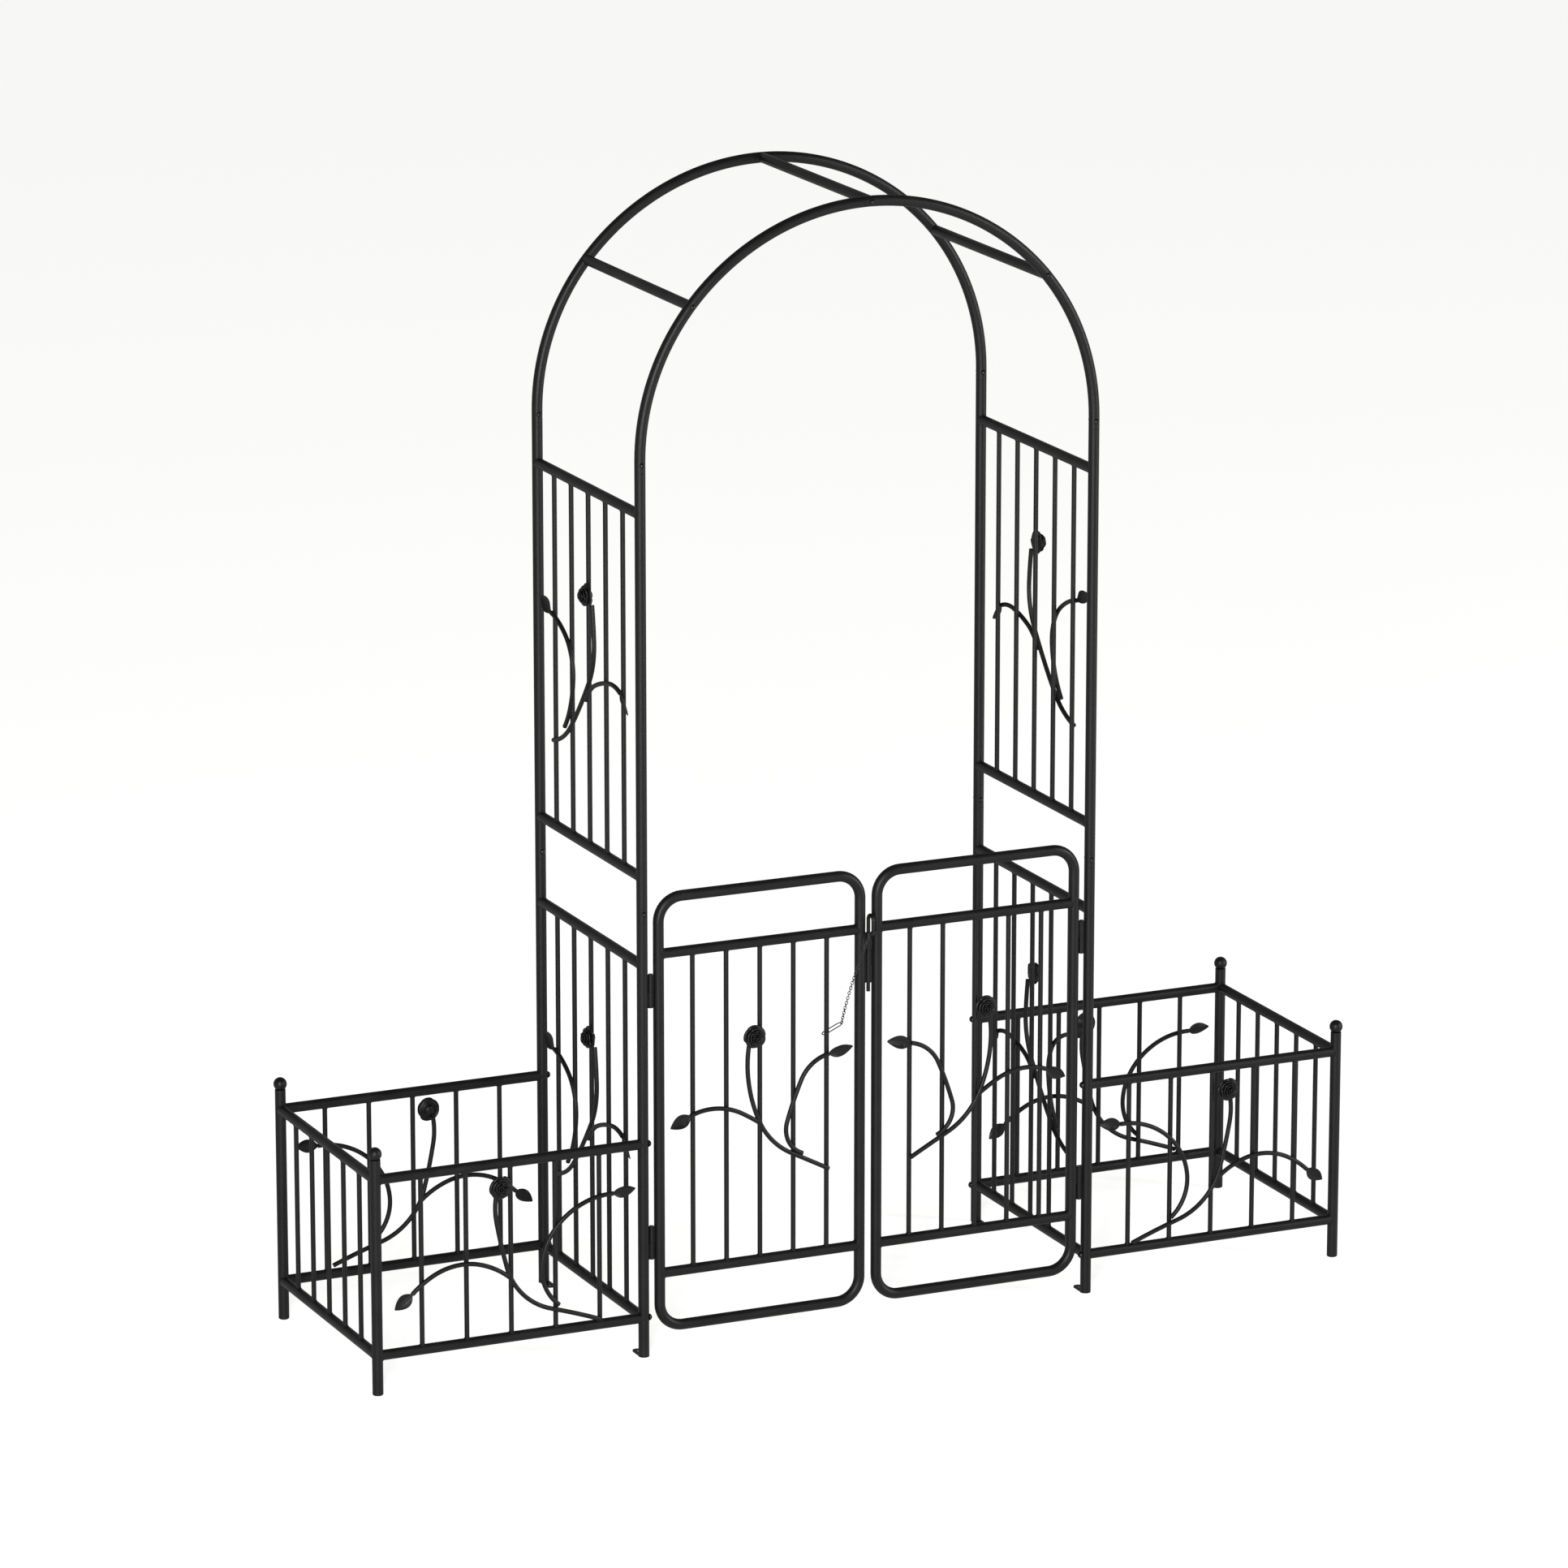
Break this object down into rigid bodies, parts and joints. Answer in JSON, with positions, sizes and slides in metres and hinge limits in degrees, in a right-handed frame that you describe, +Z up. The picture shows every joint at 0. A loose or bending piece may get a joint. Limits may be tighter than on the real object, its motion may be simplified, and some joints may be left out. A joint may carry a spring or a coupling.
{
  "type": "garden trellis arch",
  "caption": "Round-topped metal garden arch with trellis sides, a hinged two-leaf gate held by a drop pin, and an open railed planter bay on each side.",
  "frame": {"origin": "on the ground, in the middle of the passage between the four main posts", "axes": "+Z up, +X across the passage to the right seen from the front, +Y from the front to the back"},
  "size_m": [1.9689, 0.534, 2.1175],
  "materials": {
    "powder_coated_steel": "satin black powder coat",
    "black_fasteners": "glossy black oxide",
    "zinc_inserts": "zinc plated",
    "chain_wire": "black coated wire",
    "cap_plastic": "moulded satin"
  },
  "bodies": {
    "frame": {"arch_half_back_left": "powder_coated_steel", "arch_half_back_right": "powder_coated_steel", "arch_half_front_left": "powder_coated_steel", "arch_half_front_right": "powder_coated_steel", "corner_posts_left": "powder_coated_steel", "corner_posts_right": "powder_coated_steel", "cross_bar_left": "powder_coated_steel", "cross_bar_right": "powder_coated_steel", "cross_bar_top": "powder_coated_steel", "crossbar_bolts": "black_fasteners", "foot_tabs": "powder_coated_steel", "frame_flowers": "powder_coated_steel", "frame_leaves": "powder_coated_steel", "hinge_pins": "black_fasteners", "left_planter_back_grille": "powder_coated_steel", "left_planter_end_grille": "powder_coated_steel", "left_planter_front_grille": "powder_coated_steel", "left_planter_vines": "powder_coated_steel", "left_side_vines": "powder_coated_steel", "lower_post_back_left": "powder_coated_steel", "lower_post_back_right": "powder_coated_steel", "lower_post_front_left": "powder_coated_steel", "lower_post_front_right": "powder_coated_steel", "lower_side_grille_left": "powder_coated_steel", "lower_side_grille_right": "powder_coated_steel", "planter_bolts": "black_fasteners", "post_end_caps": "cap_plastic", "post_finials": "powder_coated_steel", "post_hinge_knuckles": "powder_coated_steel", "right_planter_back_grille": "powder_coated_steel", "right_planter_end_grille": "powder_coated_steel", "right_planter_front_grille": "powder_coated_steel", "right_planter_vines": "powder_coated_steel", "right_side_vines": "powder_coated_steel", "sleeve_bolts": "black_fasteners", "sleeve_nuts": "black_fasteners", "threaded_inserts": "zinc_inserts", "upper_post_back_left": "powder_coated_steel", "upper_post_back_right": "powder_coated_steel", "upper_post_front_left": "powder_coated_steel", "upper_post_front_right": "powder_coated_steel", "upper_side_grille_left": "powder_coated_steel", "upper_side_grille_right": "powder_coated_steel"},
    "left_gate": {"left_gate_flower": "powder_coated_steel", "left_gate_frame": "powder_coated_steel", "left_gate_grille": "powder_coated_steel", "left_gate_hinge_knuckles": "powder_coated_steel", "left_gate_leaves": "powder_coated_steel", "left_gate_vine": "powder_coated_steel", "latch_knuckles_left": "powder_coated_steel"},
    "right_gate": {"right_gate_flower": "powder_coated_steel", "right_gate_frame": "powder_coated_steel", "right_gate_grille": "powder_coated_steel", "right_gate_hinge_knuckles": "powder_coated_steel", "right_gate_leaves": "powder_coated_steel", "right_gate_vine": "powder_coated_steel", "latch_knuckle_right": "powder_coated_steel"},
    "latch_pin": {"latch_pin": "powder_coated_steel", "latch_chain": "chain_wire", "chain_ring": "chain_wire"}
  },
  "joints": [
    {"name": "left_gate_hinge", "type": "hinge", "parent": "frame", "child": "left_gate", "pos_m": [-0.434, -0.2365, 0.45], "axis": [0, 0, 1], "range_deg": [-96, 76]},
    {"name": "right_gate_hinge", "type": "hinge", "parent": "frame", "child": "right_gate", "pos_m": [0.434, -0.2365, 0.45], "axis": [0, 0, 1], "range_deg": [-76, 96]},
    {"name": "latch_pin_lift", "type": "slide", "parent": "left_gate", "child": "latch_pin", "axis": [0, 0, 1], "range_m": [0, 0.08]}
  ]
}
